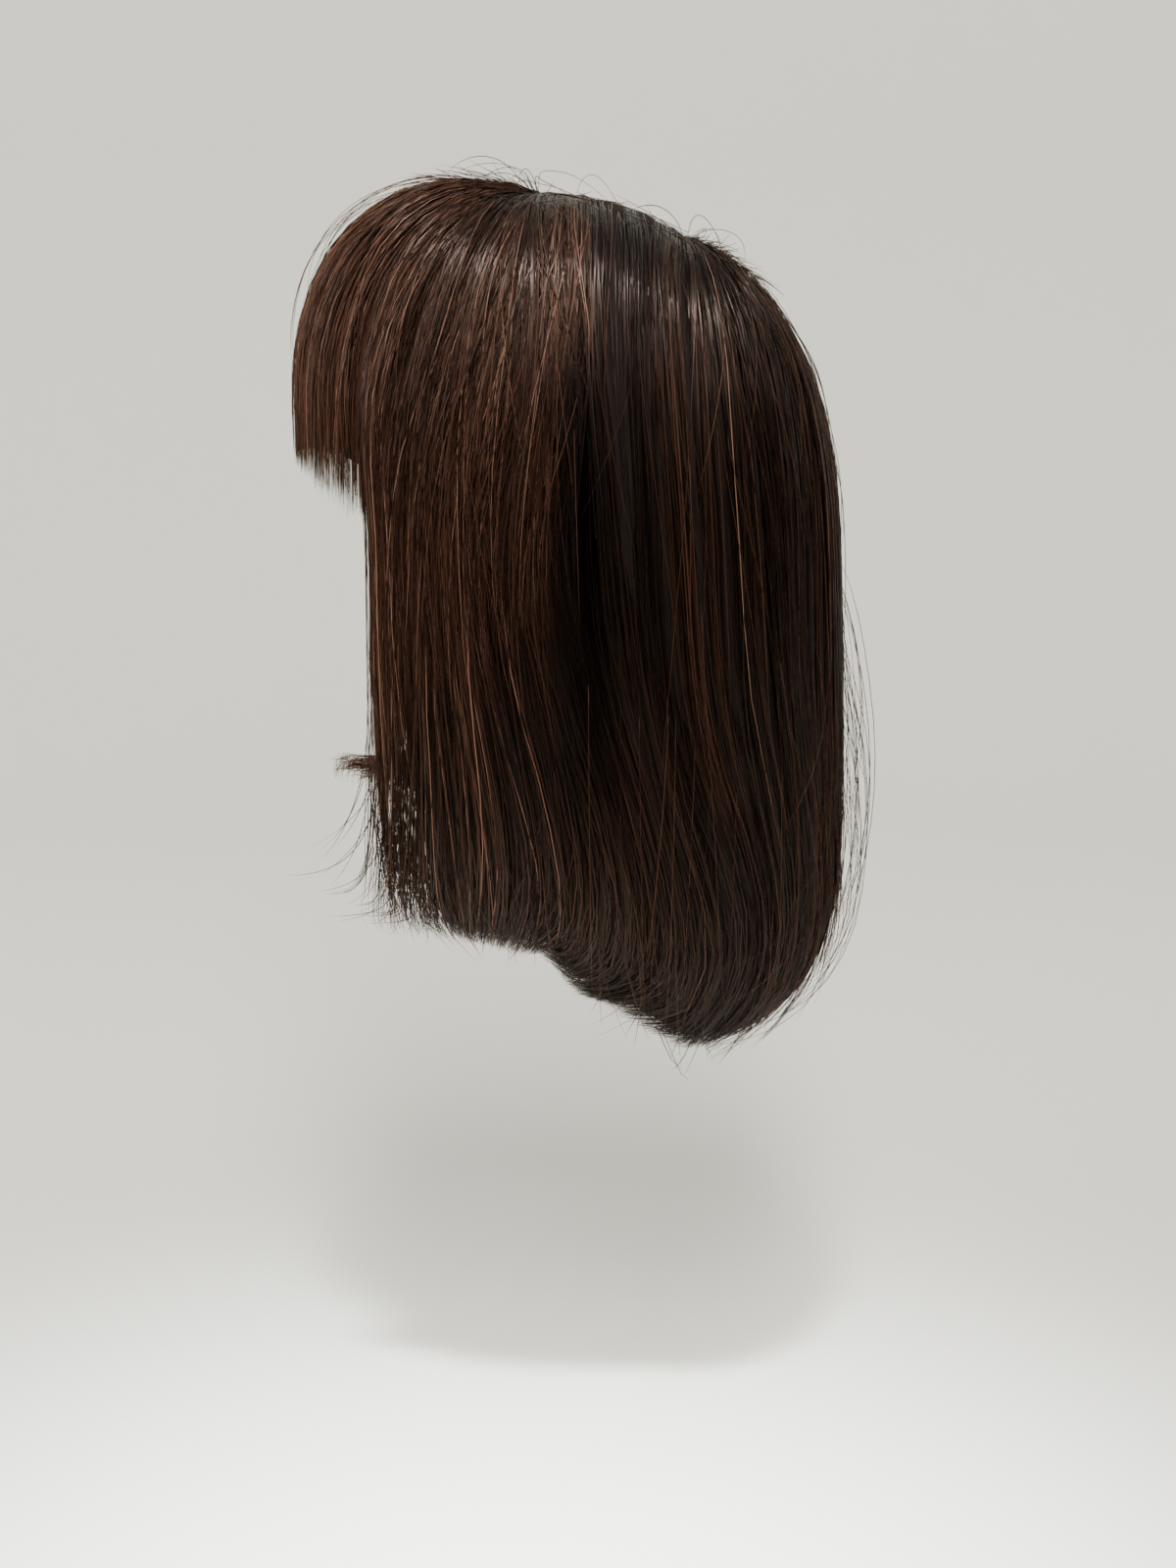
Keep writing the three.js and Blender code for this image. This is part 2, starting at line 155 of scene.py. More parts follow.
# Hair beside the face: straight and thin at the left side, with a flick at the right one
STRAIGHT_WIDTH = 26
STRAIGHT_FROM = 12
STRAIGHT_FORWARD = 17
STRAIGHT_OUT = 6
THIN_FROM = 8
THIN_OVER = 22
THIN_SHARE = 0.78
THIN_ENDS = (9.5, 12.6)
RAGGED_FROM = 4
RAGGED_OVER = 22
RAGGED_SHARE = 0.9
RAGGED_ENDS = (9.2, 14.2)
CURTAIN_FINENESS = 0.5
# Painted light: how much lighter the thin hair and the flick beside the face are made
CURTAIN_GLOW = 0.28
CURTAIN_GLOW_EDGE = 1.4
FLICK_GLOW = 0.8
FLICK_GLOW_EDGE = 1.6

# How many rows the mass under the strands ends before them
TOP_BED_SHORT = 1.9
LONG_BED_SHORT = 0.9
FLICK_BED_SHORT = 2.4
FRINGE_BED_SHORT = 0.8


def lerp(a, b, t):
    return a + (b - a) * t


def smooth(t):
    t = np.clip(t, 0, 1)
    return t * t * (3 - 2 * t)


def along_curve(values, row):
    """Value at any row, on a smooth curve through the values at whole rows."""
    ends = np.concatenate(([2 * values[0] - values[1]], values, [2 * values[-1] - values[-2]]))
    low = np.clip(np.floor(row).astype(int), 0, len(values) - 2)
    t = row - low
    a, b, c, d = (ends[low + k] for k in range(4))
    return b + 0.5 * t * (c - a + t * (2 * a - 5 * b + 4 * c - d + t * (3 * (b - c) + d - a)))


def section_profile(section):
    """Reach at each whole row, and height before the drop towards the hem."""
    down = np.array(DOME[section["shape"] + "_down"])
    hanging = len(HANG["drop"]) - 1
    dome_height = lerp(section["top"], section["level"], down)
    height = np.concatenate((dome_height, np.full(hanging, section["level"])))
    dome = np.maximum(section["reach"] * np.array(DOME[section["shape"] + "_out"]), PARTING_HALF_GAP)
    swell = HAIR_SWELL * np.array(HANG["swell"][1:])
    curl = section["curl"] * np.array(HANG["curl"][1:])
    return np.concatenate((dome, section["reach"] + swell - curl)), height


PROFILES = {name: section_profile(section) for name, section in SECTIONS.items()}
DROP = np.concatenate((np.zeros(DOME_ROWS), HANG["drop"]))
THICK = np.concatenate((np.ones(DOME_ROWS), HANG["thick"]))


def quarter_round(a, b):
    return math.pi / 2 * math.sqrt((a * a + b * b) / 2)


FRONT_ARC = quarter_round(SECTIONS["front"]["reach"], SECTIONS["side"]["reach"])
PARTING_LENGTH = PARTING_REAR - PARTING_FRONT
BACK_ARC = quarter_round(SECTIONS["rear"]["reach"], SECTIONS["back"]["reach"])
HALF_ROUND = FRONT_ARC + PARTING_LENGTH + BACK_ARC
TEMPLE_AT = FRONT_ARC * FRINGE_HALF_ANGLE / 90
CLEFT_AT = FRONT_ARC + CLEFT_OFFSET


def from_front(around):
    folded = np.abs(around)
    return np.where(folded > HALF_ROUND, 2 * HALF_ROUND - folded, folded)


def outline(around, row):
    """Reach and height of the hair's outer face, with the direction of its flow line seen from above."""
    place = from_front(around)
    hand = np.where(around < 0, -1, 1) * np.where(np.abs(around) > HALF_ROUND, -1, 1)
    rows = {name: (along_curve(out, row), along_curve(up, row)) for name, (out, up) in PROFILES.items()}
    drop = along_curve(DROP, row)

    def fan(turn, near, far):
        across = np.sin(turn) ** 2
        out = 1 / np.hypot(np.cos(turn) / rows[near][0], np.sin(turn) / rows[far][0])
        hem = lerp(SECTIONS[near]["hem"], SECTIONS[far]["hem"], across)
        return out, lerp(rows[near][1], rows[far][1], across) * (1 - drop) + hem * drop

    front_turn = np.clip(place / FRONT_ARC, 0, 1) * math.pi / 2
    back_turn = np.clip((place - FRONT_ARC - PARTING_LENGTH) / BACK_ARC, 0, 1) * math.pi / 2
    share = np.clip((place - FRONT_ARC) / PARTING_LENGTH, 0, 1)
    past_cleft = np.clip((place - CLEFT_AT) / (FRONT_ARC + PARTING_LENGTH - CLEFT_AT), 0, 1)
    hem_across = HEM_STEP * smooth((place - CLEFT_AT + HEM_BLEND) / HEM_BLEND) + (1 - HEM_STEP) * past_cleft
    hem = lerp(SECTIONS["side"]["hem"], SECTIONS["rear"]["hem"], hem_across)
    middle_height = lerp(rows["side"][1], rows["rear"][1], share ** PARTING_FALL) * (1 - drop) + hem * drop
    middle_out = lerp(rows["side"][0], rows["rear"][0], smooth(share))
    front_out, front_height = fan(front_turn, "front", "side")
    back_out, back_height = fan(back_turn, "rear", "back")
    in_front = place <= FRONT_ARC
    behind = place >= FRONT_ARC + PARTING_LENGTH
    out = np.where(in_front, front_out, np.where(behind, back_out, middle_out))
    height = np.where(in_front, front_height, np.where(behind, back_height, middle_height))
    turn = np.where(in_front, front_turn, math.pi / 2 + np.where(behind, back_turn, 0))
    centre = lerp(PARTING_FRONT, PARTING_REAR, share)
    return out, height, hand * np.sin(turn), -np.cos(turn), centre


def outer_face(around, row):
    """Points of the hair's outer face, and the directions straight out of it."""
    around, row = np.broadcast_arrays(around, row)
    out, height, sideways, back, centre = outline(around, row)
    step = 0.15
    out_before, height_before = outline(around, np.maximum(row - step, 0))[:2]
    out_after, height_after = outline(around, row + step)[:2]
    run_out = out_after - out_before
    run_up = height_after - height_before
    length = np.hypot(run_out, run_up)
    flat = -run_up / length
    point = np.stack((sideways * out, centre + back * out, height), axis=-1)
    normal = np.stack((sideways * flat, back * flat, run_out / length), axis=-1)
    return point, normal


def on_head(point, clearance):
    """Points of the head, grown by a clearance, that lie straight inward of points."""
    centre = np.array((0, 0, -HEAD_CROWN))
    ray = point - centre
    depth = np.where(ray[..., 1] < 0, HEAD_FRONT, HEAD_BACK) + clearance
    height = np.where(ray[..., 2] < 0, HEAD_LOWER, HEAD_CROWN) + clearance
    size = np.sqrt((ray[..., 0] / (HEAD_HALF_WIDTH + clearance)) ** 2
                   + (ray[..., 1] / depth) ** 2 + (ray[..., 2] / height) ** 2)
    return centre + ray / size[..., None]


def hair_thickness(around, row, point):
    """Thickness of all the hair at a place: down to the cap on the head, and its own below that."""
    to_cap = np.linalg.norm(point - on_head(point, CAP_WALL + SEAT_GAP), axis=-1)
    own = HAIR_THICKNESS * along_curve(THICK, row)
    return np.where(row < DOME_ROWS, np.minimum(to_cap, HAIR_THICKNESS), own)


def top_ends(around):
    place = from_front(around)
    front = smooth((place - TEMPLE_AT) / (CLEFT_AT - TEMPLE_AT))
    rear = smooth((place - CLEFT_AT) / TOP_ENDS_BLEND)
    return np.where(place < CLEFT_AT, lerp(TOP_ENDS_AT_TEMPLE, TOP_ENDS_AT_CLEFT, front),
                    lerp(TOP_ENDS_AT_CLEFT, TOP_ENDS_AT_BACK, rear))


def top_thickness(around, row):
    share = np.clip((top_ends(around) - row) / TOP_TAPER_ROWS, 0, 1)
    return np.maximum(TOP_LAYER * share, THINNEST_EDGE)


def no_nudge(point, around, row):
    return point


def flip_forward(point, around, row):
    """The ends at the front of the right side flip forward, off the cheek."""
    along = smooth((row - LAST_ROW + FLIP_ROWS) / FLIP_ROWS)
    near = smooth(FLIP_EDGE - (from_front(around) - TEMPLE_AT) / FLIP_WIDTH)
    fan = FLIP_FAN * np.sin(from_front(around) * FLIP_FAN_RATE)
    shift = np.stack((0 * fan, -FLIP_REACH + 0 * fan, FLIP_LIFT + fan), axis=-1)
    return point + (along * near)[..., None] * shift


# Edges of the sections, at any row
def half_cleft(row):
    return -OVERLAP / 2 + CLEFT_WIDTH / 2 * np.interp(row, CLEFT_ROWS, CLEFT_OPEN)


def fringe_edge(row):
    return TEMPLE_AT + OVERLAP / 2 + FRINGE_SPREAD * smooth((row - SETBACK_START + 1) / SETBACK_ROWS)


def curtain_edge(row):
    back = (CURTAIN_SETBACK + OVERLAP) * smooth((row - SETBACK_START) / SETBACK_ROWS)
    return TEMPLE_AT - OVERLAP / 2 + back


def front_of_cleft(row):
    return CLEFT_AT - half_cleft(row)


def rear_of_cleft(row):
    return CLEFT_AT + half_cleft(row)


def rear_of_far_cleft(row):
    return 2 * HALF_ROUND - CLEFT_AT - half_cleft(row)


def front_of_seam(row):
    return CLEFT_AT + SEAM_OVERLAP / 2 + 0 * row


def rear_of_seam(row):
    return CLEFT_AT - SEAM_OVERLAP / 2 + 0 * row


def rear_of_far_seam(row):
    return 2 * HALF_ROUND - CLEFT_AT + SEAM_OVERLAP / 2 + 0 * row


def other_side(edge):
    return lambda row: -edge(row)


# Materials
def new_material(name):
    material = bpy.data.materials.new(name)
    material.use_nodes = True
    nodes = material.node_tree.nodes
    return material, nodes, material.node_tree.links, nodes["Principled BSDF"]


def ramp(nodes, stops):
    node = nodes.new("ShaderNodeValToRGB")
    elements = node.color_ramp.elements
    while len(elements) < len(stops):
        elements.new(0.5)
    for element, (place, colour) in zip(elements, stops):
        element.position = place
        element.color = (*colour, 1)
    return node


STRAND_IOR = 1.18
STRAND_TINT = (1, 0.72, 0.6, 1)
STRAND_ANISOTROPY = 0.5
MASS_ROUGHNESS = 0.85
STREAK_BUMP = 0.6
SEWN_BUMP = 0.5
NET_SCALE = 650
SEWN_ROW_SCALE = 38


def strand_material(name, stops, roughness, specular):
    """Hair: each strand has its own tone, with painted shade towards the root, and warmer towards the tip.
    """
    material, nodes, links, shader = new_material(name)
    strand = nodes.new("ShaderNodeAttribute")
    strand.attribute_name = "strand"
    parts = nodes.new("ShaderNodeSeparateXYZ")
    links.new(strand.outputs["Vector"], parts.inputs[0])
    tone = ramp(nodes, stops)
    links.new(parts.outputs["X"], tone.inputs["Fac"])
    # Painted shade: strands are darker towards the root, by the parting and crown; towards the tip they are
    # warmer in colour
    root = ramp(nodes, [
        (0, (0.3, 0.31, 0.33)), (0.12, (0.5, 0.5, 0.52)), (0.3, (0.9, 0.9, 0.9)), (1, (1.15, 1.1, 1.03)),
    ])
    links.new(parts.outputs["Y"], root.inputs["Fac"])
    mix = nodes.new("ShaderNodeMix")
    mix.data_type = "RGBA"
    mix.blend_type = "MULTIPLY"
    mix.inputs["Factor"].default_value = 1
    links.new(tone.outputs["Color"], mix.inputs[6])
    links.new(root.outputs["Color"], mix.inputs[7])
    links.new(mix.outputs[2], shader.inputs["Base Color"])
    shader.inputs["Roughness"].default_value = roughness
    shader.inputs["Specular IOR Level"].default_value = specular
    shader.inputs["Specular Tint"].default_value = STRAND_TINT
    shader.inputs["IOR"].default_value = STRAND_IOR
    shader.inputs["Anisotropic"].default_value = STRAND_ANISOTROPY
    tangent = nodes.new("ShaderNodeTangent")
    tangent.direction_type = "UV_MAP"
    links.new(tangent.outputs["Tangent"], shader.inputs["Tangent"])
    return material


def bed_material(name, dark, light):
    """The mass of hair under the loose strands: fine streaks along the hair, in colour and height."""
    material, nodes, links, shader = new_material(name)
    place = nodes.new("ShaderNodeAttribute")
    place.attribute_name = "flow"
    streaks = nodes.new("ShaderNodeTexNoise")
    streaks.inputs["Scale"].default_value = 1
    streaks.inputs["Detail"].default_value = 4
    links.new(place.outputs["Vector"], streaks.inputs["Vector"])
    colour = ramp(nodes, [(0.35, dark), (0.75, light)])
    links.new(streaks.outputs["Fac"], colour.inputs["Fac"])
    links.new(colour.outputs["Color"], shader.inputs["Base Color"])
    bump = nodes.new("ShaderNodeBump")
    bump.inputs["Strength"].default_value = 0.8
    bump.inputs["Distance"].default_value = STREAK_BUMP * MM
    links.new(streaks.outputs["Fac"], bump.inputs["Height"])
    links.new(bump.outputs["Normal"], shader.inputs["Normal"])
    shader.inputs["Roughness"].default_value = MASS_ROUGHNESS
    shader.inputs["Specular IOR Level"].default_value = 0.12
    return material


def net_material():
    """Cap: a fine stretch net with rows of sewn hair across it."""
    material, nodes, links, shader = new_material("cap_net")
    place = nodes.new("ShaderNodeTexCoord")
    net = nodes.new("ShaderNodeTexVoronoi")
    net.feature = "DISTANCE_TO_EDGE"
    net.inputs["Scale"].default_value = NET_SCALE
    links.new(place.outputs["Object"], net.inputs["Vector"])
    rows = nodes.new("ShaderNodeTexWave")
    rows.bands_direction = "Z"
    rows.inputs["Scale"].default_value = SEWN_ROW_SCALE
    rows.inputs["Distortion"].default_value = 0.8
    links.new(place.outputs["Object"], rows.inputs["Vector"])
    colour = ramp(nodes, [(0.0, (0.09, 0.058, 0.045)), (0.14, (0.018, 0.011, 0.008))])
    links.new(net.outputs["Distance"], colour.inputs["Fac"])
    sewn = ramp(nodes, [(0.3, (1, 1, 1)), (0.9, (0.6, 0.56, 0.54))])
    links.new(rows.outputs["Fac"], sewn.inputs["Fac"])
    mix = nodes.new("ShaderNodeMix")
    mix.data_type = "RGBA"
    mix.blend_type = "MULTIPLY"
    mix.inputs["Factor"].default_value = 1
    links.new(colour.outputs["Color"], mix.inputs[6])
    links.new(sewn.outputs["Color"], mix.inputs[7])
    links.new(mix.outputs[2], shader.inputs["Base Color"])
    bump = nodes.new("ShaderNodeBump")
    bump.inputs["Strength"].default_value = 0.7
    bump.inputs["Distance"].default_value = SEWN_BUMP * MM
    links.new(rows.outputs["Fac"], bump.inputs["Height"])
    links.new(bump.outputs["Normal"], shader.inputs["Normal"])
    shader.inputs["Roughness"].default_value = MASS_ROUGHNESS
    return material


# Meshes. A strand's place on its colour map is its tone across, and root to tip down.
MAP_MARGIN = 0.01
MAP_HALF_WIDTH = 0.004
TUBE_SIDES = 3


def new_object(name, points, faces, material):
    mesh = bpy.data.meshes.new(name)
    mesh.vertices.add(len(points))
    mesh.vertices.foreach_set("co", (points * MM).astype(np.float32).ravel())
    sides = faces.shape[1]
    mesh.loops.add(faces.size)
    mesh.loops.foreach_set("vertex_index", faces.astype(np.int32).ravel())
    mesh.polygons.add(len(faces))
    mesh.polygons.foreach_set("loop_start", np.arange(0, faces.size, sides, dtype=np.int32))
    mesh.update(calc_edges=True)
    mesh.polygons.foreach_set("use_smooth", np.ones(len(faces), dtype=bool))
    mesh.materials.append(material)
    piece = bpy.data.objects.new(name, mesh)
    bpy.context.scene.collection.objects.link(piece)
    return piece


def add_vectors(mesh, name, values):
    layer = mesh.attributes.new(name, "FLOAT_VECTOR", "POINT")
    layer.data.foreach_set("vector", values.astype(np.float32).ravel())


def add_map(mesh, places, faces):
    layer = mesh.uv_layers.new(name="OFBake")
    layer.data.foreach_set("uv", places[faces.ravel()].astype(np.float32).ravel())


def across_path(points, normals, twist):
    """Directions across each path, turned about the path by an angle."""
    tangent = np.gradient(points, axis=1)
    tangent /= np.linalg.norm(tangent, axis=-1, keepdims=True)
    side = np.cross(tangent, normals)
    side /= np.linalg.norm(side, axis=-1, keepdims=True)
    lift = np.cross(side, tangent)
    return np.cos(twist)[..., None] * side + np.sin(twist)[..., None] * lift


def ribbon_object(name, points, across, half_widths, tones, material):
    """Narrow ribbons, one for each strand, joined in one mesh."""
    count, steps = points.shape[:2]
    reach = half_widths[..., None] * across
    verts = np.stack((points - reach, points + reach), axis=2).reshape(-1, 3)
    at = np.arange(count * steps * 2).reshape(count, steps, 2)
    corners = (at[:, :-1, 0], at[:, :-1, 1], at[:, 1:, 1], at[:, 1:, 0])
    faces = np.stack(corners, -1).reshape(-1, 4)
    piece = new_object(name, verts, faces, material)
    along = np.broadcast_to(np.linspace(0, 1, steps), (count, steps))
    strand = np.stack((tones, along, np.zeros_like(tones)), -1)
    strand = np.repeat(strand.reshape(-1, 3), 2, axis=0)
    add_vectors(piece.data, "strand", strand)
    side = np.tile((-MAP_HALF_WIDTH, MAP_HALF_WIDTH), count * steps)
    places = MAP_MARGIN + (1 - 2 * MAP_MARGIN) * strand[:, :2]
    places[:, 0] += side
    add_map(piece.data, places, faces)
    return piece


def tube_object(name, points, normals, radii, tones, material):
    """Thin closed tubes of three sides, one for each loose hair, joined in one mesh."""
    count, steps = points.shape[:2]
    turns = np.arange(TUBE_SIDES) * 2 * math.pi / TUBE_SIDES
    sides = [across_path(points, normals, np.full((count, 1), turn)) for turn in turns]
    verts = (points[:, :, None] + radii[:, :, None, None] * np.stack(sides, axis=2)).reshape(-1, 3)
    at = np.arange(count * steps * TUBE_SIDES).reshape(count, steps, TUBE_SIDES)
    a, b = at[:, :-1], np.roll(at[:, :-1], -1, axis=2)
    c, d = np.roll(at[:, 1:], -1, axis=2), at[:, 1:]
    walls = [np.stack(corners, -1).reshape(-1, 3) for corners in ((a, b, c), (a, c, d))]
    faces = np.concatenate((*walls, at[:, 0, ::-1], at[:, -1]))
    piece = new_object(name, verts, faces, material)
    along = np.broadcast_to(np.linspace(0.5, 1, steps), (count, steps))
    tone = np.broadcast_to(tones[:, None], (count, steps))
    strand = np.repeat(np.stack((tone, along, 0 * tone), -1).reshape(-1, 3), TUBE_SIDES, axis=0)
    add_vectors(piece.data, "strand", strand)
    side = np.tile(np.linspace(-MAP_HALF_WIDTH, MAP_HALF_WIDTH, TUBE_SIDES), count * steps)
    places = MAP_MARGIN + (1 - 2 * MAP_MARGIN) * strand[:, :2]
    places[:, 0] += side
    add_map(piece.data, places, faces)
    return piece


def bed_object(name, outer, inner, places, material):
    """A closed wall between an outer and an inner grid of points."""
    columns, rows = outer.shape[:2]
    verts = np.concatenate((outer.reshape(-1, 3), inner.reshape(-1, 3)))
    front = np.arange(columns * rows).reshape(columns, rows)
    rear = front + columns * rows

    def quads(a, b, c, d):
        return np.stack((a, b, c, d), -1).reshape(-1, 4)

    faces = np.concatenate((
        quads(front[:-1, :-1], front[:-1, 1:], front[1:, 1:], front[1:, :-1]),
        quads(rear[:-1, :-1], rear[1:, :-1], rear[1:, 1:], rear[:-1, 1:]),
        quads(front[:-1, 0], front[1:, 0], rear[1:, 0], rear[:-1, 0]),
        quads(front[:-1, -1], rear[:-1, -1], rear[1:, -1], front[1:, -1]),
        quads(front[0, :-1], rear[0, :-1], rear[0, 1:], front[0, 1:]),
        quads(front[-1, :-1], front[-1, 1:], rear[-1, 1:], rear[-1, :-1]),
    ))
    piece = new_object(name, verts, faces, material)
    add_vectors(piece.data, "flow", np.concatenate((places.reshape(-1, 3), places.reshape(-1, 3))))
    share_across = np.linspace(0.01, 0.48, columns)[:, None] + np.zeros(rows)
    share_down = np.linspace(0.01, 0.99, rows) + np.zeros(columns)[:, None]
    front_map = np.stack((share_across, share_down), -1).reshape(-1, 2)
    add_map(piece.data, np.concatenate((front_map, front_map + (0.5, 0))), faces)
    return piece


def claim(piece, section):
    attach(piece, "root")
    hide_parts(*section["nodes"])


# Locks are wide groups of strands that lie together, and tufts are narrow ones that cross each other
def lock_groups(rng, width, usual, uneven):
    count = max(3, round(width / usual))
    return {
        "centre": (np.arange(count) + 0.5 + rng.uniform(-0.4, 0.4, count)) / count,
        "half": 0.5 / count,
        "pull": rng.uniform(0.05, 0.4, count),
        "sink": rng.uniform(0, 1.4, count),
        "longer": rng.normal(0, uneven, count),
        "tone": rng.normal(0, 0.08, count),
        "sway": rng.normal(0, 1, count),
        "phase": rng.uniform(0, 2 * math.pi, count),
        "wave": rng.uniform(0.35, 0.75, count),
    }


def tuft_groups(rng, count, section):
    tufts = max(4, count // STRANDS_IN_TUFT)
    centre = (np.arange(tufts) + rng.random(tufts)) / tufts
    level = rng.beta(1.0, section["deep"], tufts)
    freedom = np.clip(5 * centre * (1 - centre), 0.2, 1)
    return {
        "centre": centre,
        "drift": rng.normal(0, section["cross"], tufts) * freedom,
        "bow": rng.normal(0, section["cross"] * 0.5, tufts) * freedom,
        "level": np.where(rng.random(tufts) < section["inner"], INNER_LEVEL, level),
        "gather": rng.uniform(0.25, 1.0, tufts),
        "longer": rng.normal(0, section["uneven"], tufts),
        # Painted shade on some tufts, for the shadows between strands
        "tone": rng.normal(0, 0.09, tufts) - TUFT_PAINTED_SHADE * (rng.random(tufts) < SHADED_TUFTS),
    }


def lay_strands(rng, count, steps, section):
    """Paths of strands over one section, from where they start to their tips."""
    from_edge, to_edge = section["from"], section["to"]
    width = float(to_edge(DOME_ROWS) - from_edge(DOME_ROWS))
    tufts = tuft_groups(rng, count, section)
    tuft = rng.integers(0, len(tufts["centre"]), count)
    spread = rng.normal(0, section["spread"], count)
    share = np.clip(tufts["centre"][tuft] + spread / width, 0, 1)
    locks = lock_groups(rng, width, section["lock"], section["uneven"] * 0.7)
    lock = np.abs(share[:, None] - locks["centre"]).argmin(axis=1)
    offset = share - locks["centre"][lock]

    around_start = lerp(from_edge(DOME_ROWS), to_edge(DOME_ROWS), share)
    start = section["start"](rng, count)
    end = section["end"](around_start) + locks["longer"][lock] + tufts["longer"][tuft]
    end = end - rng.exponential(section["ragged"], count)
    end = section["thin_out"](rng, end, from_front(around_start))
    end = np.minimum(end, section["last"])
    t = np.linspace(0, 1, steps) ** section["bunch"]
    row = lerp(start[:, None], end[:, None], t)
    length = end - section["loose_from"]
    grown = smooth((row - section["loose_from"]) / length[:, None])
    pull = offset[:, None] * section["clump"] * locks["pull"][lock][:, None] * grown ** 1.4
    place = share[:, None] - pull
    place = place - (spread / width * tufts["gather"][tuft])[:, None] * section["gather"] * grown
    lock_phase = locks["phase"][lock][:, None]
    sway = locks["sway"][lock][:, None] * np.sin(locks["wave"][lock][:, None] * row + lock_phase)
    own_wave = rng.uniform(0.3, 0.9, count)[:, None] * row + rng.uniform(0, 2 * math.pi, count)[:, None]
    calm = section["fine"](from_front(around_start)) ** 2
    own_sway = (rng.normal(0, section["own_sway"], count) * calm)[:, None] * np.sin(own_wave)
    stray = rng.random(count) < section["stray"]
    stray_drift = rng.normal(0, section["stray_drift"], count)
    drift = (np.where(stray, stray_drift, 0) + tufts["drift"][tuft])[:, None]
    bow = tufts["bow"][tuft][:, None] * np.sin(math.pi * t)
    leaving = smooth(row / 4)
    parted = smooth((row - 2) / 5)
    place = place + (sway * section["sway"] + own_sway + bow + drift * (t - 0.45)) * leaving / width
    place = np.clip(place, -section["spill"] / width, 1 + section["spill"] / width)
    around = lerp(from_edge(row), to_edge(row), place)
    lean = section["lean"] * smooth((row - 2) / 9) * np.sin(math.pi * np.clip(place, 0, 1)) ** 0.7
    around = section["sweep"](around - lean, row)

    point, normal = outer_face(around, row)
    low, high = section["depth"](around, row, point)
    level = np.clip(tufts["level"][tuft] + rng.normal(0, 0.05, count), 0, 1.1)[:, None]
    round_off = np.clip(offset / locks["half"], -1, 1)[:, None] ** 2
    lock_depth = (locks["sink"][lock][:, None] + section["valley"] * round_off) * parted
    depth = lerp(low, high, level) + lock_depth * np.maximum(1 - level, 0)
    buried = start[:, None] > section["first"] + 0.25
    dive = section["dive"] * (1 - smooth((row - start[:, None]) / 1.5)) * buried
    rise = rng.uniform(0, section["stray_rise"], count)[:, None] * np.sin(math.pi * t ** 1.5)
    depth = np.where(stray[:, None], low - rise, np.minimum(depth, high + INNER_ROOM)) + dive
    point = section["nudge"](point - normal * depth[..., None], around, row)
    tone = section["tone"] + locks["tone"][lock] + tufts["tone"][tuft]
    tone = tone + rng.normal(0, STRAND_TONE_SPREAD, count)
    tone = np.where(rng.random(count) < LIGHT_STRANDS, tone + LIGHT_STRAND_TONE, tone)
    tone = tone + section["stray_tone"] * stray + section["glow"](from_front(around_start))
    # Painted shade: strands darken the deeper they lie, and in the hollow of the cleft
    shade = DEPTH_SHADE * np.clip(depth - low, 0, 3) + HOLLOW_SHADE * hollow(around, row)
    return point, normal, np.clip(tone[:, None] - shade, 0.02, 0.98), section["fine"](from_front(around))


def hollow(around, row):
    """How far a place lies in the hollow of the cleft: 1 in its middle, and 0 away from it."""
    across = (from_front(around) - CLEFT_AT) / HOLLOW_HALF_WIDTH
    opening = smooth((row - HOLLOW_START) / HOLLOW_START_ROWS)
    return np.exp(-across ** 2) * opening * (1 - smooth((row - HOLLOW_END) / HOLLOW_END_ROWS))


def half_widths(rng, count, steps, width):
    """Half widths: full along most of the strand, and fine at the tip."""
    t = np.linspace(0, 1, steps)
    taper = np.clip((1 - t) / 0.35, 0, 1) ** 0.8 * 0.85 + 0.15
    root = 0.5 + 0.5 * smooth(t / 0.15)
    own = rng.uniform(0.65, 1.2, count)[:, None]
    return 0.5 * width * own * (taper * root)


# Depth under the outer face, from the uppermost strands to the lowest
def top_depth(around, row, point):
    return 0 * row, top_thickness(around, row)


def long_depth(around, row, point):
    total = hair_thickness(around, row, point)
    covered = smooth((top_ends(around) - 0.6 - row) / 1.6)
    low = covered * (top_thickness(around, row) + LAYER_GAP)
    low = low + (HOLLOW_DEPTH - low * 0.5) * hollow(around, row)
    return low, np.maximum(total, low + 0.3)


def fringe_depth(around, row, point):
    return 0 * row, np.maximum(5 * (1 - smooth((row - DOME_ROWS + 2) / 2)), 1.5)


def starts_at_parting(rng, count):
    late = rng.random(count) < 0.6
    return np.where(late, rng.uniform(0.4, 3.8, count), rng.uniform(0, 0.3, count))


def starts_under_top(rng, count):
    return rng.uniform(LONG_HAIR_START + 0.5, LONG_HAIR_START + 2.5, count)


def long_ends(around):
    return LAST_ROW + 0.15 + 0 * around


def fringe_ends(around):
    return DOME_ROWS + 0.1 + 0 * around


def no_thinning(rng, end, place):
    return end


def thin_front(rng, end, place):
    """Beside the face most strands end early, so the hair there is thin enough to see through."""
    early = THIN_SHARE * (1 - smooth((place - TEMPLE_AT - THIN_FROM) / THIN_OVER))
    return np.where(rng.random(len(end)) < early, rng.uniform(*THIN_ENDS, len(end)), end)


def ragged_front(rng, end, place):
    """Beside the face the ends of the top layer lie at many heights."""
    early = RAGGED_SHARE * (1 - smooth((place - TEMPLE_AT - RAGGED_FROM) / RAGGED_OVER))
    return np.where(rng.random(len(end)) < early, rng.uniform(*RAGGED_ENDS, len(end)), end)


def no_glow(place):
    return 0 * place


def flick_glow(place):
    """Painted light: the flick beside the face is made lighter, where it catches the light."""
    return FLICK_GLOW * smooth(FLICK_GLOW_EDGE - (place - TEMPLE_AT) / FLIP_WIDTH)


